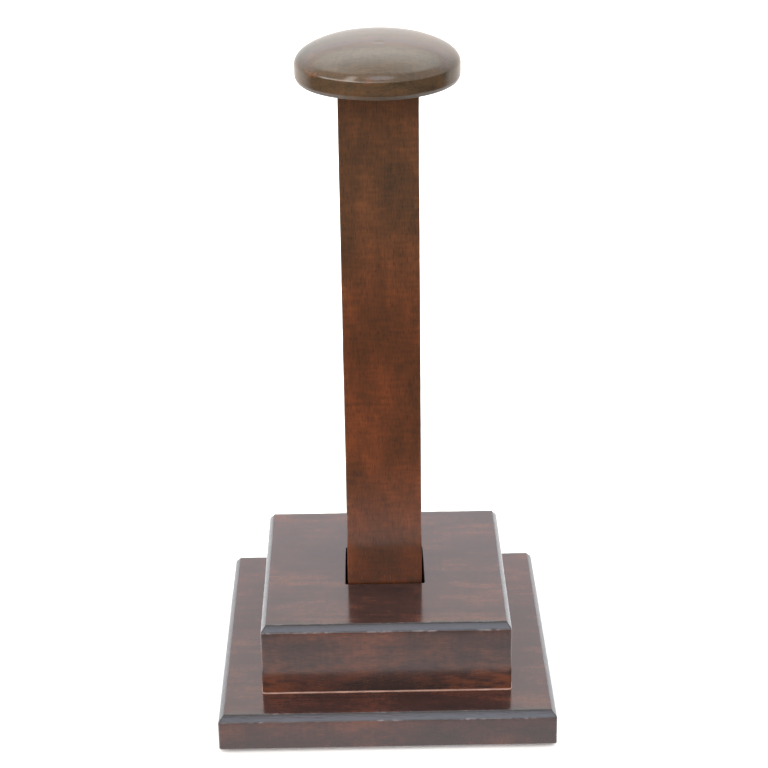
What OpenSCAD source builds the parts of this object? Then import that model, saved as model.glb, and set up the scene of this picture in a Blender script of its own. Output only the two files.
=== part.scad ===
// Helmet and hat display stand in stained hardwood.
// A square post with a turned cap stands loose in a mortise in a two-tier
// plinth, so post and cap lift out together. Stands on four felt pads, +Z up,
// origin on the surface it stands on, under the middle of the post.

/* [Base plate] */
// Side of the square base plate
plate_w = 200; // [180:1:240]
// Thickness of the base plate
plate_t = 22.5; // [18:0.5:30]
// Width of the sloped bevel round its top
plate_bevel_w = 3; // [2:0.1:6]
// Height of the sloped bevel
plate_bevel_h = 3.2; // [2:0.1:6]
// Height of the small upright step between bevel and top face
plate_step_h = 0.8; // [0.4:0.1:2]

/* [Plinth block] */
// Side of the square plinth block
block_w = 149; // [140:1:170]
// Thickness of the plinth block
block_t = 45.5; // [40:0.5:60]
// Width of the sloped bevel round its top
block_bevel_w = 2.8; // [2:0.1:6]
// Height of the sloped bevel
block_bevel_h = 3.5; // [2:0.1:6]
// Height of the small upright step between bevel and top face
block_step_h = 0.8; // [0.4:0.1:2]

/* [Post] */
// Side of the square post
post_w = 45.6; // [40:0.2:52]
// Height of the post, from the mortise floor to the cap
post_h = 355.1; // [300:0.1:420]
// Small chamfer on the post's long edges
post_edge = 0.8; // [0.4:0.1:2]
// Gap between the post and each wall of its mortise
post_gap = 1.2; // [0.5:0.1:2]

/* [Cap] */
// Diameter of the turned cap
cap_d = 94; // [84:1:120]
// Height of the cap's rim, below the dome
cap_rim_h = 10.3; // [7:0.1:14]
// Rise of the dome above the rim
cap_dome_h = 16.5; // [14:0.5:24]
// Radius of the rim's lower edge
cap_edge_r = 4.5; // [0.5:0.5:6]

/* [Cap dowel] */
// Diameter of the hidden dowel between post and cap
dowel_d = 12; // [8:1:16]
// Length of the dowel
dowel_l = 50; // [40:1:60]
// Depth of the dowel's hole in the cap
dowel_in_cap = 16; // [10:0.5:18]

/* [Plinth screws] */
// Length of each countersunk wood screw, driven up from below
screw_l = 45; // [40:1:50]
// Diameter of the screw's shank and thread crests
screw_d = 4; // [3.5:0.5:5]
// Diameter of the screw's head
screw_head_d = 8; // [7:0.5:10]
// Distance between screw centres along each side
screw_pitch = 100; // [80:1:120]

/* [Felt pads] */
// Diameter of each felt pad
pad_d = 22; // [16:1:22]
// Thickness of each felt pad
pad_t = 2; // [1.5:0.5:3]
// Distance between pad centres along each side
pad_pitch = 156; // [130:1:156]

/* [Hidden] */
$fn = 96;

WOOD = [0.30, 0.17, 0.12];
DARK_WOOD = [0.24, 0.14, 0.10];
RAW_WOOD = [0.78, 0.62, 0.42];
STEEL = [0.72, 0.70, 0.62];
FELT = [0.12, 0.12, 0.12];

// Heights of the faces where the pieces meet
plate_z = pad_t;
block_z = plate_z + plate_t;
cap_z = block_z + post_h;

mortise_w = post_w + 2 * post_gap;
cap_r = cap_d / 2;
dowel_z = cap_z + dowel_in_cap - dowel_l;
dowel_tip = 1;

// The screw's head is sunk a little below the plate's underside
head_sink = 0.3;
head_h = (screw_head_d - screw_d) / 2;
core_d = 0.7 * screw_d;
shank_l = plate_t - head_sink - head_h;
tip_l = 1.5 * screw_d;
thread_pitch = 1.8;
thread_n = floor((screw_l - head_h - shank_l - tip_l) / thread_pitch);
screw_hole_d = screw_d + 0.4;
cross_w = 0.35 * screw_d;
cross_l = 0.55 * screw_head_d;
cross_depth = 0.8 * head_h;

// Clearance for cuts that run out through a face
over = 1;
CORNERS = [[-1, -1], [1, -1], [1, 1], [-1, 1]];

// Side profile of a board with a stepped bevel along both top edges
function board_profile(w, h, bevel_w, bevel_h, step_h) =
    let (side = w / 2, top = side - bevel_w, shoulder = h - step_h)
    [[-side, 0], [side, 0],
     [side, shoulder - bevel_h], [top, shoulder], [top, h],
     [-top, h], [-top, shoulder], [-side, shoulder - bevel_h]];

// The same profile run both ways and mitred at the corners
module moulded_board(w, h, bevel_w, bevel_h, step_h) {
    intersection_for (turn = [0, 90])
        rotate([90, 0, turn])
            linear_extrude(w, center = true)
                polygon(board_profile(w, h, bevel_w, bevel_h, step_h));
}

// Square bar with small flats along its long edges
module eased_bar(w, h, edge) {
    side = w / 2;
    flat = side - edge;
    linear_extrude(h)
        polygon([[-flat, -side], [flat, -side], [side, -flat], [side, flat],
                 [flat, side], [-flat, side], [-side, flat], [-side, -flat]]);
}

module at_screws() {
    for (c = CORNERS)
        translate([c.x * screw_pitch / 2, c.y * screw_pitch / 2, plate_z])
            children();
}

// Clearance hole and countersink, up through the base plate
module screw_clearance() {
    translate([0, 0, -over])
        cylinder(h = plate_t + 2 * over, d = screw_hole_d);
    translate([0, 0, -over])
        cylinder(h = head_sink + over, d = screw_head_d);
    translate([0, 0, head_sink])
        cylinder(h = head_h, d1 = screw_head_d, d2 = screw_d);
}

// Pilot hole in the block, a little deeper than the screw's tip
module screw_pilot() {
    translate([0, 0, plate_t - over])
        cylinder(h = head_sink + screw_l - plate_t + 2 * over, d = core_d);
}

module screw() {
    thread_z = head_h + shank_l;
    crest = screw_d / 2;
    root = core_d / 2;
    threads = [for (i = [0:thread_n - 1])
                   each [[root, thread_z + i * thread_pitch],
                         [crest, thread_z + (i + 0.35) * thread_pitch],
                         [crest, thread_z + (i + 0.45) * thread_pitch],
                         [root, thread_z + (i + 0.8) * thread_pitch]]];
    difference() {
        rotate_extrude()
            polygon(concat([[0, 0], [screw_head_d / 2, 0], [crest, head_h],
                            [crest, thread_z]],
                           threads,
                           [[root, screw_l - tip_l], [0, screw_l]]));
        for (turn = [0, 90])
            rotate(turn)
                translate([-cross_l / 2, -cross_w / 2, -over])
                    cube([cross_l, cross_w, cross_depth + over]);
    }
}

module base_plate() {
    color(WOOD)
        difference() {
            translate([0, 0, plate_z])
                moulded_board(plate_w, plate_t, plate_bevel_w, plate_bevel_h, plate_step_h);
            at_screws()
                screw_clearance();
        }
}

// Glued and screwed to the plate; the square mortise runs right through it
module plinth_block() {
    color(WOOD)
        difference() {
            translate([0, 0, block_z])
                moulded_board(block_w, block_t, block_bevel_w, block_bevel_h, block_step_h);
            translate([-mortise_w / 2, -mortise_w / 2, block_z - over])
                cube([mortise_w, mortise_w, block_t + 2 * over]);
            at_screws()
                screw_pilot();
        }
}

module post() {
    color(DARK_WOOD)
        difference() {
            translate([0, 0, block_z])
                eased_bar(post_w, post_h, post_edge);
            translate([0, 0, dowel_z])
                cylinder(h = dowel_l, d = dowel_d);
        }
}

// Turned disc: well-rounded lower edge, upright rim, elliptical dome
module cap() {
    lower_edge = [for (a = [-90:10:0])
                      [cap_r - cap_edge_r + cap_edge_r * cos(a), cap_edge_r + cap_edge_r * sin(a)]];
    dome = [for (a = [0:2.5:90])
                [cap_r * cos(a), cap_rim_h + cap_dome_h * sin(a)]];
    color(WOOD)
        translate([0, 0, cap_z])
            difference() {
                rotate_extrude()
                    polygon(concat([[0, 0]], lower_edge, dome));
                translate([0, 0, -over])
                    cylinder(h = dowel_in_cap + over, d = dowel_d);
            }
}

module cap_dowel() {
    color(RAW_WOOD)
        translate([0, 0, dowel_z]) {
            cylinder(h = dowel_tip, d1 = dowel_d - 2 * dowel_tip, d2 = dowel_d);
            translate([0, 0, dowel_tip])
                cylinder(h = dowel_l - 2 * dowel_tip, d = dowel_d);
            translate([0, 0, dowel_l - dowel_tip])
                cylinder(h = dowel_tip, d1 = dowel_d, d2 = dowel_d - 2 * dowel_tip);
        }
}

module plinth_screws() {
    color(STEEL)
        at_screws()
            translate([0, 0, head_sink])
                screw();
}

module felt_pad(c) {
    color(FELT)
        translate([c.x * pad_pitch / 2, c.y * pad_pitch / 2, 0])
            cylinder(h = pad_t, d = pad_d);
}

base_plate();
plinth_block();
post();
cap();
cap_dowel();
plinth_screws();
for (i = [0:3])
    felt_pad(CORNERS[i]);
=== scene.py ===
import math

import bmesh
import bpy
import numpy as np
from mathutils import Matrix, Vector, noise


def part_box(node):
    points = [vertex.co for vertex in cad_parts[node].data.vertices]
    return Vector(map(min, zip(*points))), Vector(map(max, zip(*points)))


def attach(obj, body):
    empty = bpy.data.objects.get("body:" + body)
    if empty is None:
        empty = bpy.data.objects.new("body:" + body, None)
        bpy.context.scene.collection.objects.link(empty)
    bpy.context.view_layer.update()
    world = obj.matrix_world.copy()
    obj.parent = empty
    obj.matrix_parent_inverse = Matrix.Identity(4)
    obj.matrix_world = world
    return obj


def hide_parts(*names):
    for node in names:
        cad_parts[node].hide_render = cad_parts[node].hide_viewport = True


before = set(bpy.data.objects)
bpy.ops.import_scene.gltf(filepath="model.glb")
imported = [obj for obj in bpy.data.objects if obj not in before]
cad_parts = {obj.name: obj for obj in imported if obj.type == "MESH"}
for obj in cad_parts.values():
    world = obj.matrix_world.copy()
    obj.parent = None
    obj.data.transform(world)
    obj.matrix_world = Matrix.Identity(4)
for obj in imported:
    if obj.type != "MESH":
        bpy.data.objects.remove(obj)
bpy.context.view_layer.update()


# ---------------------------------------------------------------------------- base plate
# The lower tier: a square hardwood board, planed from inch stock. Its top edge is routed to a
# small upright step over a sloped bevel, then sanded by hand, stained dark and brushed with
# gloss lacquer. Four countersunk holes in its underside take the screws that hold the block.

PLATE_BEVEL_W = 0.003
PLATE_BEVEL_H = 0.0032
PLATE_STEP_H = 0.0008
SCREW_PITCH = 0.1
SCREW_HEAD_R = 0.004
SCREW_HOLE_R = 0.0022
SCREW_SINK = 0.0003
HOLE_SIDES = 32
BOARD_CORNER_R = 0.0012  # Upright corners of plate and block
BOARD_MITRE_R = 0.0006  # Corners of their tops, inside the bevel
BOARD_GRID = 0.0035  # Longest face on their sections
SIDE_SLACK = 0.0005  # A point this close to the outermost width is on a side
CORE = 0.002  # Half width of the small square in the middle of a filled end


class Wire:
    """A value in a node tree. Arithmetic on it adds Math nodes, and node() adds any other node."""

    def __init__(self, tree, socket=None):
        self.tree = tree
        self.socket = socket

    def node(self, kind, settings=None, sockets=None, out=0):
        made = self.tree.nodes.new(kind)
        for name, value in (settings or {}).items():
            if name == "stops":
                set_stops(made.color_ramp, value)
            else:
                setattr(made, name, value)
        for name, value in (sockets or {}).items():
            if isinstance(value, Wire):
                self.tree.links.new(value.socket, made.inputs[name])
            else:
                made.inputs[name].default_value = value
        return Wire(self.tree, made.outputs[out] if len(made.outputs) else None)

    def output(self, name):
        return Wire(self.tree, self.socket.node.outputs[name])

    def place(self):
        """Object coordinates, which are metres in the part's own frame."""
        return self.node("ShaderNodeTexCoord", out="Object")

    def cover(self):
        """Ends a material's tree with this shader."""
        self.node("ShaderNodeOutputMaterial", None, {"Surface": self})

    def between(self, low, high, kind="SMOOTHSTEP"):
        """0 at low, 1 at high, clamped outside."""
        return self.node("ShaderNodeMapRange", {"interpolation_type": kind},
                         {"Value": self, "From Min": low, "From Max": high})

    def stretched(self, x, y, z):
        """This vector with its parts multiplied, so that a pattern on it is drawn out."""
        return self.node("ShaderNodeVectorMath", {"operation": "MULTIPLY"}, {0: self, 1: (x, y, z)})

    def clouds(self, detail=2.0, roughness=0.5):
        """Noise with one cell for each unit of this vector, about 0.5 in the middle."""
        return self.node("ShaderNodeTexNoise", None,
                         {"Vector": self, "Scale": 1.0, "Detail": detail, "Roughness": roughness})

    def turned_by(self, angle):
        """Sine and cosine of this value times an angle."""
        swing = self * angle
        return [swing.node("ShaderNodeMath", {"operation": kind}, {0: swing}) for kind in ("SINE", "COSINE")]

    def tint(self, under, over):
        """Colour under where this value is 0, and over where it is 1."""
        return self.node("ShaderNodeMix", {"data_type": "RGBA"}, {0: self, 6: under, 7: over}, out=2)


def set_stops(ramp, stops):
    while len(ramp.elements) < len(stops):
        ramp.elements.new(1.0)
    for element, (position, colour) in zip(ramp.elements, stops):
        element.position = position
        element.color = colour


def arithmetic(operation, reflected):
    def apply(self, other):
        first, second = (other, self) if reflected else (self, other)
        return self.node("ShaderNodeMath", {"operation": operation}, {0: first, 1: second})
    return apply


for symbol, operation in (("add", "ADD"), ("sub", "SUBTRACT"), ("mul", "MULTIPLY"), ("truediv", "DIVIDE")):
    setattr(Wire, f"__{symbol}__", arithmetic(operation, False))
    setattr(Wire, f"__r{symbol}__", arithmetic(operation, True))


def colour(red, green, blue):
    return (red, green, blue, 1.0)


def new_material(name):
    """An empty material, and a Wire to build its tree with."""
    material = bpy.data.materials.new(name)
    material.use_nodes = True
    material.node_tree.nodes.clear()
    return material, Wire(material.node_tree)


def lacquered_wood(name, dark, middle, light, wear_and_glint_colour, wear_and_glint, figure, turn=(0, 0, 0), shift=(0, 0, 0)):
    """Stained hardwood under brushed lacquer, with its grain along X before the turn. Its arrises
    take the given edge colour in patches, to the given strength: worn through on the post and cap, a painted
    glint on the plate and block. Figure is the strength of the ripple."""
    material, tree = new_material(name)
    place = tree.place()
    grain = place.node("ShaderNodeMapping", {"vector_type": "TEXTURE"},
                       {"Vector": place, "Location": shift, "Rotation": turn})

    # Growth rings of the log, seen as faint bands along the grain
    bend = grain.stretched(7, 22, 22).clouds(1.0) - 0.5
    parts = grain.node("ShaderNodeSeparateXYZ", None, {0: grain})
    across = parts.output("Y") + bend * 0.010
    through = parts.output("Z") + bend * 0.006 + 0.055
    flat = grain.node("ShaderNodeCombineXYZ", None, {"Y": across, "Z": through})
    ring = grain.node("ShaderNodeVectorMath", {"operation": "LENGTH"}, {0: flat}, out="Value")
    bands = grain.node("ShaderNodeTexNoise", {"noise_dimensions": "1D"},
                       {"W": ring * 230, "Scale": 1.0, "Detail": 2.0, "Roughness": 0.5})

    # Where the stain took: broad clouds, short streaks, fibres, and ripples across the grain
    cloud = grain.stretched(20, 48, 48).clouds(3.0, 0.55)
    streak = grain.stretched(62, 210, 210).clouds(2.0, 0.55)
    fibre = grain.stretched(190, 1100, 1100).clouds(1.0)
    ripple = grain.stretched(480, 110, 110).clouds(1.0)
    pore = grain.stretched(240, 1900, 1900).clouds(1.0).between(0.60, 0.72)
    tone = (0.5 + (bands - 0.5) * 0.18 + (cloud - 0.5) * 0.72 + (streak - 0.5) * 0.26
            + (fibre - 0.5) * 0.28 + (ripple - 0.5) * figure)
    wood = tone.node("ShaderNodeValToRGB", {"stops": [(0.28, dark), (0.5, middle), (0.74, light)]}, {0: tone})
    pore_stain = colour(0.016, 0.009, 0.007)
    wood = (pore * 0.5).tint(wood, pore_stain)

    # It is olive where sun has bleached it. Painted shade darkens the bevels to a dark blue grey and the
    # nooks to near black; the arrises take the edge colour here and there: worn through on the post and cap,
    # a painted glint on the plate and block
    arris, moulding, nook, olive, dull, bare = (
        tree.node("ShaderNodeAttribute", {"attribute_name": attribute}, out="Fac")
        for attribute in ("arris", "moulding", "nook", "olive", "dull", "bare"))
    bleaching = colour(0.98, 1.36, 1.60)
    bevel_shade_paint = colour(0.027, 0.026, 0.033)
    orange_wood = colour(0.22, 0.062, 0.022)
    shade_paint = colour(0.010, 0.007, 0.006)
    wood = wood.node("ShaderNodeMix", {"data_type": "RGBA", "blend_type": "MULTIPLY"},
                     {0: olive, 6: wood, 7: bleaching}, out=2)
    patch_breaks = grain.stretched(260, 500, 500).clouds(1.0).between(0.36, 0.62)
    wear_and_glint_patches = grain.stretched(55, 70, 70).clouds(2.0, 0.6).between(0.46, 0.66) * patch_breaks
    # Painted shade: the bevels and their step darkened to a dark blue grey
    wood = (moulding * 0.85).tint(wood, bevel_shade_paint)
    wood = (bare * streak.between(0.36, 0.62) * 0.5).tint(wood, orange_wood)
    # Edge colour in patches: real wear on the post and cap, a painted glint on the plate and block
    wood = (arris * wear_and_glint_patches * wear_and_glint).tint(wood, wear_and_glint_colour)
    # Painted shade: near black in the nooks, in the mortise and along the bottoms of the sides
    wood = (nook * 0.9).tint(wood, shade_paint)

    # Brush marks run with the grain; their height, like the pores', is in metres
    brush = grain.stretched(9, 330, 330).clouds(2.0)
    peel = grain.stretched(75, 140, 140).clouds(1.0)
    tooling = grain.stretched(160, 900, 900).clouds(1.0)
    height = (brush * 0.000016 + peel * 0.000040 + fibre * 0.000003 - pore * 0.000005
              + moulding * tooling * 0.00013)
    normal = height.node("ShaderNodeBump", None, {"Strength": 1.0, "Distance": 1.0, "Height": height})
    gloss = (0.14 + (peel - 0.5) * 0.10 + (cloud - 0.5) * 0.12 + pore * 0.10 + nook * 0.25
             + dull * 0.5)
    surface = wood.node("ShaderNodeBsdfPrincipled", None,
                        {"Base Color": wood, "Roughness": gloss, "IOR": 1.5, "Normal": normal})
    surface.cover()
    return material


def eased(corners, steps=5):
    """A polyline's points, with each corner (x, z, radius) rounded to its radius."""
    points = []
    for i, (x, z, radius) in enumerate(corners):
        here = Vector((x, z))
        if radius == 0 or i in (0, len(corners) - 1):
            points.append(here)
            continue
        back = (Vector(corners[i - 1][:2]) - here).normalized()
        ahead = (Vector(corners[i + 1][:2]) - here).normalized()
        half_angle = back.angle(ahead) / 2
        reach = radius / math.tan(half_angle)
        centre = here + (back + ahead).normalized() * radius / math.sin(half_angle)
        first = here + back * reach - centre
        last = here + ahead * reach - centre
        turn = first.angle_signed(last)
        for step in range(steps + 1):
            points.append(centre + Matrix.Rotation(-turn * step / steps, 2) @ first)
    return points


def spread(start, end, count, lead=0.0004):
    """Fractions from start to end in count even steps, with one more close to each end,
    so that a flat face stays flat beside its rounded edge."""
    near = lead / max((end - start).length, 3 * lead)
    return [near] + [k / count for k in range(1, count)] + [1 - near]


def filled(points, gap, longest_plain=0.0015):
    """The same polyline with points added along its longer stretches, at most gap apart."""
    dense = [points[0]]
    for start, end in zip(points, points[1:]):
        length = (end - start).length
        if length > longest_plain:
            dense += [start.lerp(end, f) for f in spread(start, end, math.ceil(length / gap))]
        dense.append(end)
    return dense


def square_plan(half, radius, per_side, per_corner=4):
    """Points round a square with rounded corners, the same number whatever its size."""
    points = []
    for quarter in range(4):
        start = quarter * math.pi / 2
        sign = (1 if quarter in (0, 3) else -1, 1 if quarter < 2 else -1)
        centre = Vector(sign) * (half - radius)
        arc = [centre + Vector((math.cos(start + math.pi / 2 * k / per_corner),
                                math.sin(start + math.pi / 2 * k / per_corner))) * radius
               for k in range(per_corner + 1)]
        end_side = Vector((-arc[0].y, arc[0].x))
        points += arc
        points += [arc[-1].lerp(end_side, f) for f in spread(arc[-1], end_side, per_side)]
    return points


def swept_square(outline, corner_radius, per_side, hollow=False):
    """A closed square solid from half an upright section, (half width, height) points.
    A section whose ends meet leaves a square hole; otherwise both ends are filled."""
    plans = [square_plan(p.x, corner_radius(p), per_side) for p in outline]
    count = len(plans[0])
    mesh = bmesh.new()
    rings = [[mesh.verts.new((q.x, q.y, p.y)) for q in plan] for p, plan in zip(outline, plans)]
    pairs = list(zip(rings, rings[1:]))
    if hollow:
        pairs.append((rings[-1], rings[0]))
    for low, high in pairs:
        for k in range(count):
            after = (k + 1) % count
            mesh.faces.new((low[k], low[after], high[after], high[k]))
    if not hollow:
        for ring, p in ((rings[0], outline[0]), (rings[-1], outline[-1])):
            middle = mesh.verts.new((0, 0, p.y))
            for k in range(count):
                mesh.faces.new((ring[k], ring[(k + 1) % count], middle))
    bmesh.ops.recalc_face_normals(mesh, faces=mesh.faces)
    return mesh


def mark(mesh, **measures):
    """Stores a value from 0 to 1 on each vertex for each measure, which takes a point."""
    for name, measure in measures.items():
        layer = mesh.verts.layers.float.new(name)
        for vertex in mesh.verts:
            vertex[layer] = measure(vertex.co)


def nearness(distance, reach):
    return math.exp(-(distance / reach) ** 2)


def hand_sanded(mesh, flat, edge, seed):
    """Wears the surface inwards by up to flat metres in long waves, and its arrises by edge."""
    waves_per_metre, nicks_per_metre = 32, 120
    mesh.normal_update()
    layer = mesh.verts.layers.float["arris"]
    moves = []
    for vertex in mesh.verts:
        place = vertex.co + Vector((seed, seed * 2.3, seed * 0.7))
        wave = 0.5 + 0.5 * noise.noise(place * waves_per_metre)
        nick = 0.5 + 0.5 * noise.noise(place * nicks_per_metre)
        moves.append(vertex.normal * -(flat * wave + edge * vertex[layer] * nick))
    for vertex, move in zip(mesh.verts, moves):
        vertex.co += move


def finish_piece(name, mesh, material):
    """An object at the origin from a bmesh, smooth, with one material."""
    data = bpy.data.meshes.new(name)
    mesh.to_mesh(data)
    mesh.free()
    data.materials.append(material)
    data.shade_smooth()
    piece = bpy.data.objects.new(name, data)
    bpy.context.scene.collection.objects.link(piece)
    return piece


def moulded_section(half, low, high, bevel_w, bevel_h, step_h, inner):
    """Half section of a board with a stepped bevel, from its underside out and up to its top."""
    foot_r, hip_r, inner_r, ridge_r = 0.0009, 0.0014, 0.00025, 0.0004
    top = half - bevel_w
    shoulder = high - step_h
    return [(inner, low, 0), (half, low, foot_r), (half, shoulder - bevel_h, hip_r),
            (top, shoulder, inner_r), (top, high, ridge_r), (inner, high, 0)]


def moulding_marks(half, high, bevel_w, bevel_h, step_h):
    """Measures for the arrises, the bevel with its step, and the nook of a moulded board. The bevel and the
    nook carry painted shade.
    """
    slack = 0.0003
    ridge = Vector((half - bevel_w, high))
    hip = Vector((half, high - step_h - bevel_h))
    inner = Vector((half - bevel_w, high - step_h))

    def arris(point):
        out = Vector((max(abs(point.x), abs(point.y)), point.z))
        corner = half - min(abs(point.x), abs(point.y)) if point.z < high - 0.0002 else 1.0
        return nearness(min((out - ridge).length, (out - hip).length, corner), 0.0005)

    def moulding(point):
        out = max(abs(point.x), abs(point.y)) - ridge.x
        return 1.0 if out > -slack and point.z > hip.y - slack else 0.0

    def nook(point):
        out = Vector((max(abs(point.x), abs(point.y)), point.z))
        return nearness((out - inner).length, 0.0006)

    return {"arris": arris, "moulding": moulding, "nook": nook}


plate_low, plate_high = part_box("base_plate")
plate_half = plate_high.x
plate_section = eased(moulded_section(plate_half, plate_low.z, plate_high.z,
                                      PLATE_BEVEL_W, PLATE_BEVEL_H, PLATE_STEP_H, CORE))


def plate_corner_radius(p):
    return BOARD_CORNER_R if p.x > plate_half - SIDE_SLACK else BOARD_MITRE_R


plate_mesh = swept_square(filled(plate_section, BOARD_GRID), plate_corner_radius, per_side=60)
plate_marks = moulding_marks(plate_half, plate_high.z, PLATE_BEVEL_W, PLATE_BEVEL_H, PLATE_STEP_H)


def plate_painted_shade(point):
    """Painted shade along the bottom of the sides, darker towards the bottom, besides the painted shade in
    the nook under the step.
    """
    return max(plate_marks["nook"](point), 0.45 * nearness(point.z - plate_low.z, 0.007))


mark(plate_mesh, **{**plate_marks, "nook": plate_painted_shade})
hand_sanded(plate_mesh, flat=0.00010, edge=0.00030, seed=3.1)

# Its pale grey edge colour is a painted glint along the arrises of the bevel
plate_finish = lacquered_wood("plate_finish", colour(0.018, 0.010, 0.009), colour(0.038, 0.0155, 0.0125),
                              colour(0.095, 0.030, 0.017), colour(0.20, 0.18, 0.19), wear_and_glint=0.6,
                              figure=0.14, shift=(0.4, 0.1, 0.0))
base_plate = finish_piece("base_plate_wood", plate_mesh, plate_finish)


def countersink(x, y):
    """A cutter for one screw: straight recess, cone and shank, run out through the underside."""
    over = 0.002
    below = plate_low.z - over
    sunk = plate_low.z + SCREW_SINK
    neck = sunk + SCREW_HEAD_R - SCREW_HOLE_R
    deep = plate_high.z - over
    section = [(SCREW_HEAD_R, below), (SCREW_HEAD_R, sunk), (SCREW_HOLE_R, neck), (SCREW_HOLE_R, deep)]
    mesh = bmesh.new()
    rings = []
    for radius, height in section:
        rings.append([mesh.verts.new((x + radius * math.cos(a), y + radius * math.sin(a), height))
                      for a in np.linspace(0, 2 * math.pi, HOLE_SIDES, endpoint=False)])
    for low, high in zip(rings, rings[1:]):
        for k in range(HOLE_SIDES):
            after = (k + 1) % HOLE_SIDES
            mesh.faces.new((low[k], low[after], high[after], high[k]))
    mesh.faces.new(rings[0])
    mesh.faces.new(rings[-1])
    bmesh.ops.recalc_face_normals(mesh, faces=mesh.faces)
    return finish_piece("countersink", mesh, plate_finish)


def baked(piece):
    """Replaces a piece's mesh with what its modifiers make of it, and removes them."""
    graph = bpy.context.evaluated_depsgraph_get()
    result = bpy.data.meshes.new_from_object(piece.evaluated_get(graph), depsgraph=graph)
    piece.modifiers.clear()
    piece.data = result
    return piece


cutters = [countersink(i * SCREW_PITCH / 2, j * SCREW_PITCH / 2) for i in (-1, 1) for j in (-1, 1)]
for cutter in cutters:
    cut = base_plate.modifiers.new("hole", "BOOLEAN")
    cut.operation = "DIFFERENCE"
    cut.solver = "EXACT"
    cut.object = cutter
baked(base_plate)
for cutter in cutters:
    bpy.data.objects.remove(cutter)
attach(base_plate, "plinth")
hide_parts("base_plate")


# ---------------------------------------------------------------------------- plinth block
# The upper tier: a thicker square block with a plain bevel and a faint step, glued and screwed
# on the plate. A square mortise is chopped right through its middle for the post.

BLOCK_BEVEL_W = 0.0028
BLOCK_BEVEL_H = 0.0035
BLOCK_STEP_H = 0.0008
MORTISE_GAP = 0.0012
MORTISE_CORNER_R = 0.0014
MORTISE_RIM = 0.006  # Width of the finer faces round the mortise

block_low, block_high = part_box("plinth_block")
post_low, post_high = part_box("post")
block_half = block_high.x
mortise_half = post_high.x + MORTISE_GAP
block_top = block_half - BLOCK_BEVEL_W
block_corners = moulded_section(block_half, block_low.z, block_high.z,
                                BLOCK_BEVEL_W, BLOCK_BEVEL_H, BLOCK_STEP_H,
                                mortise_half + MORTISE_RIM)
block_corners += [(mortise_half, block_high.z, 0.0005), (mortise_half, block_low.z, 0.0003),
                  (mortise_half + MORTISE_RIM, block_low.z, 0)]
block_outline = filled(eased(block_corners), BOARD_GRID)[:-1]


def block_corner_radius(p):
    """Plan radius: the outer arrises, the mitred bevel, then the mortise's cut corners."""
    if p.x > block_half - SIDE_SLACK:
        return BOARD_CORNER_R
    inner = (block_top - p.x) / (block_top - mortise_half)
    return BOARD_MITRE_R + max(0.0, min(1.0, inner)) * (MORTISE_CORNER_R - BOARD_MITRE_R)


block_mesh = swept_square(block_outline, block_corner_radius, per_side=52, hollow=True)
block_marks = moulding_marks(block_half, block_high.z, BLOCK_BEVEL_W, BLOCK_BEVEL_H, BLOCK_STEP_H)


def on_mortise_wall(point):
    return max(abs(point.x), abs(point.y)) < mortise_half + 0.0004


def block_bare(point):
    """The front's and back's lower corners, where the stain is rubbed back to orange."""
    along = point.x / block_half
    corner = max(0.0, along - 0.10) * 1.5 if along > 0 else max(0.0, -along - 0.70) * 3
    outside = 1.0 if abs(point.y) > block_half - 0.0012 and point.z > block_low.z + 0.0001 else 0.0
    return outside * min(1.0, corner) * nearness(point.z - block_low.z - 0.003, 0.011)


def block_painted_shade(point):
    """Painted shade: in the mortise, in the nook under the step, and along the bottom of the sides, darker
    towards the bottom and most in the middle.
    """
    middle = max(0.0, 1 - abs(point.x) / 0.06)
    shade_paint = (0.22 + 0.40 * middle) * nearness(point.z - block_low.z, 0.013)
    return 0.6 if on_mortise_wall(point) else max(block_marks["nook"](point), shade_paint)


mark(block_mesh, arris=block_marks["arris"], moulding=block_marks["moulding"], nook=block_painted_shade,
     bare=block_bare)
hand_sanded(block_mesh, flat=0.00010, edge=0.00028, seed=7.4)
# Its pale grey edge colour is a painted glint along the arrises of the bevel
block_finish = lacquered_wood("block_finish", colour(0.018, 0.010, 0.009), colour(0.038, 0.017, 0.0135),
                              colour(0.100, 0.033, 0.018), colour(0.20, 0.18, 0.19), wear_and_glint=0.6,
                              figure=0.14, shift=(-0.7, 0.23, 0.31))
plinth_block = finish_piece("plinth_block_wood", block_mesh, block_finish)
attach(plinth_block, "plinth")
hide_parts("plinth_block")


# ---------------------------------------------------------------------------- post
# A square bar with its long edges eased by hand, standing loose in the mortise on the plate.
# The stain is lighter and redder here, olive at the top, and worn to orange along the arrises.

POST_EDGE_R = 0.0009
POST_GRID = 0.004  # Longest face on its section

post_half = post_high.x
post_corners = [(CORE, post_low.z, 0), (post_half, post_low.z, 0.0006),
                (post_half, post_high.z, 0.0004), (CORE, post_high.z, 0)]


def post_corner_radius(p):
    return min(POST_EDGE_R, p.x / 2)


post_mesh = swept_square(filled(eased(post_corners), POST_GRID), post_corner_radius, per_side=12)


def long_edge(point):
    return nearness(math.hypot(post_half - abs(point.x), post_half - abs(point.y)), 0.0014)


def post_foot_shade(point):
    """Painted shade on the post just above the mouth of the mortise, darkest right at it."""
    rise = point.z - block_high.z
    return max(0.6 * nearness(rise, 0.0022), 0.26 * nearness(rise, 0.028))


def sunned(point):
    """From 0 half way up to 1 near the top."""
    start, reach = 0.22, 0.11
    part = max(0.0, min(1.0, (point.z - start) / reach))
    return part * part * (3 - 2 * part)


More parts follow.
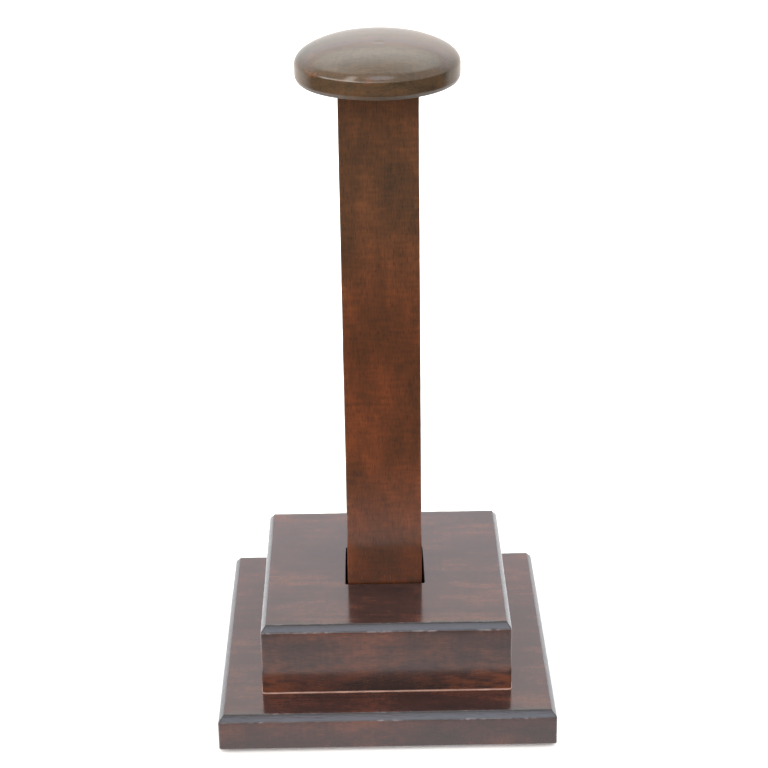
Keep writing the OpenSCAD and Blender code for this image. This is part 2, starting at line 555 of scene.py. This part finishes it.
mark(post_mesh, arris=long_edge, nook=post_foot_shade, olive=sunned)
hand_sanded(post_mesh, flat=0.00014, edge=0.00030, seed=11.9)
post_finish = lacquered_wood("post_finish", colour(0.046, 0.021, 0.011), colour(0.086, 0.0285, 0.0125),
                             colour(0.140, 0.040, 0.015), colour(0.24, 0.085, 0.035), wear_and_glint=0.45,
                             figure=0.26, turn=(0, math.pi / 2, 0), shift=(0.05, 0.02, -0.6))
post = finish_piece("post_wood", post_mesh, post_finish)
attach(post, "post_and_cap")
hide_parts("post")


# ---------------------------------------------------------------------------- cap
# The mushroom cap: a disc turned on a lathe, with a well-rounded lower edge, an upright rim and
# an elliptical dome, flooded with lacquer. A shallow dimple is left near its crown.

CAP_RIM_H = 0.0103
CAP_EDGE_R = 0.0045
CAP_ARRIS = (0.32, 0.37, 0.40, 0.46)  # Where wear starts, is full, stops being full and ends
MERGE_GAP = 1e-6  # Closes the seam and poles of a turned grid
DIMPLE = (0.001, -0.0155)
DIMPLE_R = 0.0034
DIMPLE_DEPTH = 0.00024
DIMPLE_SQUASH = 1.6


def new_growth(name, inputs):
    """A geometry tree with named inputs, and a Wire to build it with."""
    tree = bpy.data.node_groups.new(name, "GeometryNodeTree")
    for label, kind in inputs:
        tree.interface.new_socket(label, in_out="INPUT", socket_type="NodeSocket" + kind)
    tree.interface.new_socket("Mesh", in_out="OUTPUT", socket_type="NodeSocketGeometry")
    return tree, Wire(tree).node("NodeGroupInput")


def end_growth(mesh, material):
    """Realize Instances and Set Material, as every geometry tree here ends."""
    real = mesh.node("GeometryNodeRealizeInstances", None, {0: mesh})
    clad = mesh.node("GeometryNodeSetMaterial", None, {"Geometry": real, "Material": material})
    mesh.node("NodeGroupOutput", None, {0: clad})


def worn(mesh, depth):
    """A grown mesh moved inwards along its normals by depth."""
    normal = mesh.node("GeometryNodeInputNormal")
    move = normal.node("ShaderNodeVectorMath", {"operation": "SCALE"}, {0: normal, "Scale": 0 - depth})
    return mesh.node("GeometryNodeSetPosition", None, {"Geometry": mesh, "Offset": move})


def grown(name, tree, values):
    """The plain mesh object that a geometry tree makes with these inputs."""
    piece = bpy.data.objects.new(name, bpy.data.meshes.new(name))
    bpy.context.scene.collection.objects.link(piece)
    modifier = piece.modifiers.new("growth", "NODES")
    modifier.node_group = tree
    for item in tree.interface.items_tree:
        if item.in_out == "INPUT":
            modifier[item.identifier] = values[item.name]
    baked(piece)
    mesh = bmesh.new()
    mesh.from_mesh(piece.data)
    bmesh.ops.remove_doubles(mesh, verts=mesh.verts, dist=MERGE_GAP)
    bmesh.ops.recalc_face_normals(mesh, faces=mesh.faces)
    mesh.to_mesh(piece.data)
    mesh.free()
    piece.data.shade_smooth()
    return piece


def turned(start, sides, rings, profile):
    """A lathe: a grid whose X goes round the axis and whose Y follows profile(v) -> radius, height."""
    grid = start.node("GeometryNodeMeshGrid", None,
                      {"Size X": 1.0, "Size Y": 1.0, "Vertices X": sides, "Vertices Y": rings})
    place = start.node("GeometryNodeInputPosition")
    parts = start.node("ShaderNodeSeparateXYZ", None, {0: place})
    sine, cosine = (parts.output("X") + 0.5).turned_by(2 * math.pi)
    along = parts.output("Y") + 0.5
    radius, height = profile(along)
    point = start.node("ShaderNodeCombineXYZ", None,
                       {"X": radius * cosine, "Y": radius * sine, "Z": height})
    return grid, along, point


cap_low, cap_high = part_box("cap")
cap_tree, cap_start = new_growth("turned_cap", [
    ("Radius", "Float"), ("Base", "Float"), ("Edge", "Float"), ("Rim", "Float"), ("Dome", "Float"),
    ("Crown", "Float"), ("Unevenness", "Float"), ("Sides", "Int"), ("Rings", "Int"),
    ("Material", "Material")])


def cap_profile(along):
    """Underside, rounded lower edge, rim and dome, each over its own stretch of along."""
    size = {name: cap_start.output(name) for name in ("Radius", "Base", "Edge", "Rim", "Dome")}
    under = along.between(0.0, 0.15, "LINEAR")
    edge_sine, edge_cosine = along.between(0.15, 0.27, "LINEAR").turned_by(math.pi / 2)
    rim = along.between(0.27, 0.35, "LINEAR")
    dome_sine, dome_cosine = along.between(0.35, 1.0, "LINEAR").turned_by(math.pi / 2)
    radius = ((size["Radius"] - size["Edge"]) * under + size["Edge"] * edge_sine
              - size["Radius"] * (1 - dome_cosine))
    height = (size["Base"] + size["Edge"] * (1 - edge_cosine) + (size["Rim"] - size["Edge"]) * rim
              + size["Dome"] * dome_sine)
    return radius, height


cap_grid, cap_along, cap_point = turned(cap_start, cap_start.output("Sides"), cap_start.output("Rings"),
                                        cap_profile)
# The turn from rim to dome catches wear, and the underside is duller than the rest
cap_arris = cap_along.between(*CAP_ARRIS[:2]) * (1 - cap_along.between(*CAP_ARRIS[2:]))
cap_under = 1 - cap_along.between(0.20, 0.27)
cap_shape = cap_grid
for attribute, value in (("arris", cap_arris), ("dull", cap_under)):
    cap_shape = cap_shape.node("GeometryNodeStoreNamedAttribute", {"data_type": "FLOAT", "domain": "POINT"},
                               {"Geometry": cap_shape, "Name": attribute, "Value": value})
cap_shape = cap_shape.node("GeometryNodeSetPosition", None, {"Geometry": cap_shape, "Position": cap_point})
cap_shape = cap_shape.node("GeometryNodeMergeByDistance", None,
                           {"Geometry": cap_shape, "Distance": MERGE_GAP})
# Slight unevenness from sanding, always inwards, and the dimple by the crown
cap_place = cap_shape.node("GeometryNodeInputPosition")
cap_waves = cap_place.stretched(45, 45, 60).clouds(1.0)
cap_parts = cap_place.node("ShaderNodeSeparateXYZ", None, {0: cap_place})
side_step = cap_parts.output("X") - DIMPLE[0]
front_step = cap_parts.output("Y") - DIMPLE[1]
from_dimple = side_step * side_step + front_step * front_step * DIMPLE_SQUASH
crown = (cap_parts.output("Z") - cap_start.output("Crown")).between(-0.006, -0.003)
pit = (1 - from_dimple.between(0.0, DIMPLE_R ** 2)) * crown
cap_depth = cap_waves * cap_start.output("Unevenness") + pit * DIMPLE_DEPTH
end_growth(worn(cap_shape, cap_depth), cap_start.output("Material"))

cap_finish = lacquered_wood("cap_finish", colour(0.038, 0.026, 0.015), colour(0.076, 0.047, 0.026),
                            colour(0.130, 0.064, 0.030), colour(0.20, 0.080, 0.036), wear_and_glint=0.6,
                            figure=0.16, shift=(1.3, -0.4, -0.3))
cap = grown("cap_wood", cap_tree, {
    "Radius": cap_high.x, "Base": cap_low.z, "Edge": CAP_EDGE_R, "Rim": CAP_RIM_H,
    "Dome": cap_high.z - cap_low.z - CAP_RIM_H, "Crown": cap_high.z, "Unevenness": 0.00022,
    "Sides": 257, "Rings": 201, "Material": cap_finish})
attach(cap, "post_and_cap")
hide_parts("cap")


# ---------------------------------------------------------------------------- bead at the block's foot
# Filler and lacquer squeezed into the corner where the block meets the plate, wiped to a thin
# bead that runs round all four sides. Its pale colour is a painted highlight, the thin pale line along the
# foot.

BEAD_R = 0.0009
BEAD_RISE = 0.0001  # Of its centre line, above the plate's top

bead_tree, bead_start = new_growth("foot_bead", [
    ("Side", "Float"), ("Height", "Float"), ("Radius", "Float"), ("Corner", "Float"),
    ("Unevenness", "Float"), ("Material", "Material")])
bead_path = bead_start.node("GeometryNodeCurvePrimitiveQuadrilateral", {"mode": "RECTANGLE"},
                            {"Width": bead_start.output("Side"), "Height": bead_start.output("Side")})
bead_path = bead_path.node("GeometryNodeFilletCurve", {"mode": "POLY"},
                           {"Curve": bead_path, "Radius": bead_start.output("Corner"), "Count": 4})
bead_path = bead_path.node("GeometryNodeResampleCurve", {"mode": "LENGTH"},
                           {"Curve": bead_path, "Length": 0.002})
bead_round = bead_start.node("GeometryNodeCurvePrimitiveCircle", {"mode": "RADIUS"},
                             {"Resolution": 10, "Radius": bead_start.output("Radius")})
bead_shape = bead_path.node("GeometryNodeCurveToMesh", None,
                            {"Curve": bead_path, "Profile Curve": bead_round})
bead_lift = bead_shape.node("ShaderNodeCombineXYZ", None, {"Z": bead_start.output("Height")})
bead_shape = bead_shape.node("GeometryNodeSetPosition", None, {"Geometry": bead_shape, "Offset": bead_lift})
bead_place = bead_shape.node("GeometryNodeInputPosition")
bead_waves = bead_place.stretched(160, 160, 160).clouds(1.0)
bead_shape = worn(bead_shape, bead_waves * bead_start.output("Unevenness"))
end_growth(bead_shape, bead_start.output("Material"))

bead_painted_highlight, bead_paint = new_material("bead_painted_highlight")
bead_coords = bead_paint.place()
bead_patches = bead_coords.stretched(90, 90, 90).clouds(2.0).between(0.35, 0.7)
# Painted highlight: the bead's pale pinkish colour
bead_highlight_colour = bead_patches.tint(colour(0.20, 0.105, 0.080), colour(0.30, 0.17, 0.13))
bead_surface = bead_highlight_colour.node("ShaderNodeBsdfPrincipled", None,
                                {"Base Color": bead_highlight_colour, "Roughness": 0.22, "IOR": 1.5})
bead_surface.cover()

bead = grown("foot_bead", bead_tree, {
    "Side": 2 * block_half, "Height": plate_high.z + BEAD_RISE, "Radius": BEAD_R,
    "Corner": BOARD_CORNER_R,
    "Unevenness": 0.0004, "Material": bead_painted_highlight})
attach(bead, "plinth")


# ---------------------------------------------------------------------------- felt pads
# Four self-adhesive discs punched from pressed charcoal felt, stuck under the plate's corners.

PAD_PITCH = 0.156
PAD_ROUND = 0.25  # How far its side bulges, as a part of its thickness

pad_low, pad_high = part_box("felt_pad_1")
pad_tree, pad_start = new_growth("felt_pads", [
    ("Radius", "Float"), ("Thickness", "Float"), ("Pitch", "Float"), ("Fuzz", "Float"),
    ("Material", "Material")])


def pad_profile(along):
    """Flat bottom, softly rounded side and flat top of a punched disc."""
    radius, thickness = pad_start.output("Radius"), pad_start.output("Thickness")
    out = along.between(0.0, 0.3, "LINEAR")
    sine, cosine = along.between(0.3, 0.7, "LINEAR").turned_by(math.pi)
    back = along.between(0.7, 1.0, "LINEAR")
    side = radius - thickness * PAD_ROUND
    return side * (out - back) + thickness * PAD_ROUND * sine, thickness * 0.5 * (1 - cosine)


pad_grid, _, pad_point = turned(pad_start, 65, 41, pad_profile)
pad_shape = pad_grid.node("GeometryNodeSetPosition", None, {"Geometry": pad_grid, "Position": pad_point})
pad_shape = pad_shape.node("GeometryNodeMergeByDistance", None,
                           {"Geometry": pad_shape, "Distance": MERGE_GAP})
pad_places = pad_start.node("GeometryNodeMeshGrid", None,
                            {"Size X": pad_start.output("Pitch"), "Size Y": pad_start.output("Pitch"),
                             "Vertices X": 2, "Vertices Y": 2})
pads = pad_places.node("GeometryNodeInstanceOnPoints", None, {"Points": pad_places, "Instance": pad_shape})
pads = pads.node("GeometryNodeRealizeInstances", None, {0: pads})
pad_place = pads.node("GeometryNodeInputPosition")
pad_fuzz = pad_place.stretched(1400, 1400, 1400).clouds(2.0)
end_growth(worn(pads, pad_fuzz * pad_start.output("Fuzz")), pad_start.output("Material"))

felt, felt_paint = new_material("felt")
felt_coords = felt_paint.place()
felt_flecks = felt_coords.stretched(2200, 2200, 2200).clouds(3.0, 0.7)
felt_colour = felt_flecks.between(0.35, 0.7).tint(colour(0.018, 0.018, 0.020), colour(0.060, 0.060, 0.064))
felt_height = felt_flecks * 0.00008
felt_normal = felt_height.node("ShaderNodeBump", None,
                               {"Strength": 1.0, "Distance": 1.0, "Height": felt_height})
felt_surface = felt_colour.node("ShaderNodeBsdfPrincipled", None,
                                {"Base Color": felt_colour, "Roughness": 0.95, "Sheen Weight": 0.4,
                                 "Normal": felt_normal})
felt_surface.cover()

felt_pads = grown("felt_pads", pad_tree, {
    "Radius": (pad_high.x - pad_low.x) / 2, "Thickness": pad_high.z - pad_low.z, "Pitch": PAD_PITCH,
    "Fuzz": 0.00012, "Material": felt})
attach(felt_pads, "plinth")
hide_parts("felt_pad_1", "felt_pad_2", "felt_pad_3", "felt_pad_4")


# ---------------------------------------------------------------------------- screws and dowel
# Yellow zinc-plated wood screws, sunk in the plate's underside, and a plain beech dowel that is
# glued into the post and the cap. Both keep their drawn shape and only take a finish here.

zinc, zinc_paint = new_material("yellow_zinc")
zinc_coords = zinc_paint.place()
zinc_bloom = zinc_coords.stretched(700, 700, 700).clouds(3.0, 0.6)
zinc_colour = zinc_bloom.between(0.3, 0.7).tint(colour(0.55, 0.42, 0.20), colour(0.66, 0.60, 0.46))
zinc_surface = zinc_colour.node("ShaderNodeBsdfPrincipled", None,
                                {"Base Color": zinc_colour, "Metallic": 1.0,
                                 "Roughness": 0.28 + zinc_bloom * 0.2})
zinc_surface.cover()

beech, beech_paint = new_material("raw_beech")
beech_coords = beech_paint.place()
beech_fibres = beech_coords.stretched(900, 900, 40).clouds(3.0, 0.6)
beech_colour = beech_fibres.between(0.3, 0.7).tint(colour(0.48, 0.31, 0.17), colour(0.62, 0.44, 0.27))
beech_surface = beech_colour.node("ShaderNodeBsdfPrincipled", None,
                                  {"Base Color": beech_colour, "Roughness": 0.55 + beech_fibres * 0.2})
beech_surface.cover()

for node_name, material in (("plinth_screws", zinc), ("cap_dowel", beech)):
    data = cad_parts[node_name].data
    data.materials.clear()
    data.materials.append(material)


# ---------------------------------------------------------------------------- camera
# A long lens a little over a metre in front, looking down on the plinth.

CAMERA_AT = (-0.0064, -1.1212, 0.6834)
LENS = 95.74
YAW = math.radians(0.39)
PITCH = math.radians(-23.63)
ROLL = math.radians(-0.80)

ahead = Vector((math.sin(YAW) * math.cos(PITCH), math.cos(YAW) * math.cos(PITCH), math.sin(PITCH)))
level = Vector((math.cos(YAW), -math.sin(YAW), 0.0))
upward = level.cross(ahead)
right = level * math.cos(ROLL) + upward * math.sin(ROLL)
above = upward * math.cos(ROLL) - level * math.sin(ROLL)
camera_data = bpy.data.cameras.new("camera")
camera_data.lens = LENS
camera_data.clip_end = 20.0
camera = bpy.data.objects.new("camera", camera_data)
camera.matrix_world = Matrix.Translation(CAMERA_AT) @ Matrix((right, above, -ahead)).transposed().to_4x4()
bpy.context.scene.collection.objects.link(camera)
bpy.context.scene.camera = camera


# ---------------------------------------------------------------------------- studio
# A white sheet under the stand, a white tent behind and above it, and a darker room in front with
# a soft box high up, a tall window and a row of low ones, besides a faint wide key light. The
# floor stays plain and pale.

FLOOR_HALF = 6.0
SHEET_HALF = 0.5
SHEET_FRONT = -0.33
SHEET_BACK = 1.3
SHEET_FADE = 0.21  # Length over which it comes up from its dim front edge
WALL_GLOW = 4.0
WINDOW_GLOW = 7.2
TALL_WINDOW_GLOW = 5.0
SOFT_BOX_GLOW = 2.1
SOFT_BOX_AT = (0.06, -0.74, 0.67)
KEY_AT = (-0.35, -0.55, 1.0)

scene = bpy.context.scene
scene.view_settings.view_transform = "Standard"


def level_sheet(name, low, high, height, material):
    """A flat rectangle of floor or card."""
    corners = [(low[0], low[1], height), (high[0], low[1], height),
               (high[0], high[1], height), (low[0], high[1], height)]
    data = bpy.data.meshes.new(name)
    data.from_pydata(corners, [], [(0, 1, 2, 3)])
    data.materials.append(material)
    sheet = bpy.data.objects.new(name, data)
    scene.collection.objects.link(sheet)
    return sheet


floor_finish, floor_paint = new_material("floor_finish")
floor_surface = floor_paint.node("ShaderNodeBsdfDiffuse", None, {"Color": colour(0.90, 0.90, 0.90)})
floor_surface.cover()
floor = level_sheet("floor", (-FLOOR_HALF, -FLOOR_HALF), (FLOOR_HALF, FLOOR_HALF), 0.0, floor_finish)
floor.visible_glossy = False
floor.visible_diffuse = False

sheet_finish, sheet_paint = new_material("sheet_finish")
sheet_coords = sheet_paint.place()
sheet_parts = sheet_coords.node("ShaderNodeSeparateXYZ", None, {0: sheet_coords})
sheet_fade = sheet_parts.output("Y").between(SHEET_FRONT, SHEET_FRONT + SHEET_FADE, "LINEAR")
sheet_fade = sheet_fade.node("ShaderNodeMath", {"operation": "POWER"}, {0: sheet_fade, 1: 1.3})
sheet_glow = sheet_fade * 1.85 + 0.10
sheet_surface = sheet_glow.node("ShaderNodeEmission", None,
                                {"Color": colour(0.98, 0.98, 1.0), "Strength": sheet_glow})
sheet_surface.cover()
sheet_finish.cycles.emission_sampling = "NONE"
white_sheet = level_sheet("white_sheet", (-SHEET_HALF, SHEET_FRONT - 0.1), (SHEET_HALF, SHEET_BACK),
                          -0.001, sheet_finish)
white_sheet.visible_camera = False
white_sheet.visible_shadow = False
white_sheet.visible_transmission = False

world = bpy.data.worlds.new("tent")
world.use_nodes = True
world.node_tree.nodes.clear()
scene.world = world
sky = Wire(world.node_tree)
direction = sky.node("ShaderNodeTexCoord", out="Generated")
heading = direction.node("ShaderNodeSeparateXYZ", None, {0: direction})
to_right, to_back, to_top = (heading.output(name) for name in "XYZ")
above_level = to_top.between(-0.04, 0.03)
in_front = 1 - to_back.between(-0.25, 0.02)

# The back wall and roof of the tent, dimmer low down and a little warm half way
wall = to_top.node("ShaderNodeValToRGB", {"stops": [
    (0.0, colour(0.28, 0.28, 0.28)), (0.30, colour(0.35, 0.37, 0.37)), (0.455, colour(0.50, 0.475, 0.51)),
    (0.52, colour(0.50, 0.45, 0.445)), (0.62, colour(0.62, 0.63, 0.61)), (0.74, colour(0.77, 0.80, 0.78)),
    (0.84, colour(0.75, 0.77, 0.75)), (0.93, colour(0.64, 0.65, 0.62)), (1.0, colour(0.55, 0.55, 0.52))]},
                   {0: to_top})
on_wall = (to_back + to_top.between(0.60, 0.95) * 0.53).between(0.05, 0.40) * above_level
below = (0.10 + to_back.between(0.15, 0.50) * 1.20) * (1 - above_level)

# The room in front: low windows brightest on the left, one tall window, and the soft box
slant = to_right / to_back
tall_window = (slant.between(0.60, 0.72) * (1 - slant.between(1.00, 1.15)) * in_front
               * to_top.between(0.04, 0.10) * (1 - to_top.between(0.62, 0.84)))
windows = above_level * in_front * (1 - to_top.between(0.08, 0.26))
window_light = (2.6 - to_right * 4.6).between(0.0, 7.0, "LINEAR") * WINDOW_GLOW
soft_box = direction.node("ShaderNodeVectorMath", {"operation": "DOT_PRODUCT"},
                          {0: direction, 1: SOFT_BOX_AT}, out="Value").between(0.925, 0.995)
room = ((1.25 + to_right * 0.2) * above_level + below + windows * window_light
        + tall_window * TALL_WINDOW_GLOW + soft_box * SOFT_BOX_GLOW)
straight = sky.node("ShaderNodeLightPath").output("Is Camera Ray")
wall_light = wall.node("ShaderNodeMix", {"data_type": "RGBA", "blend_type": "MULTIPLY"},
                       {0: 1.0, 6: wall, 7: colour(WALL_GLOW, WALL_GLOW, WALL_GLOW)}, out=2)
room_light = soft_box.tint(colour(1.01, 0.95, 0.89), colour(0.90, 0.98, 1.12))
room_light = room_light.node("ShaderNodeVectorMath", {"operation": "SCALE"}, {0: room_light, "Scale": room})
tent_light = straight.tint(on_wall.tint(room_light, wall_light), colour(1.0, 1.0, 1.0))
background = tent_light.node("ShaderNodeBackground", None, {"Color": tent_light, "Strength": 1.0})
background.node("ShaderNodeOutputWorld", None, {"Surface": background})

key_data = bpy.data.lights.new("key", "SUN")
key_data.energy = 0.1
key_data.angle = math.radians(50)
key = bpy.data.objects.new("key", key_data)
key.rotation_euler = Vector(KEY_AT).to_track_quat("Z", "Y").to_euler()
key.visible_glossy = False
scene.collection.objects.link(key)
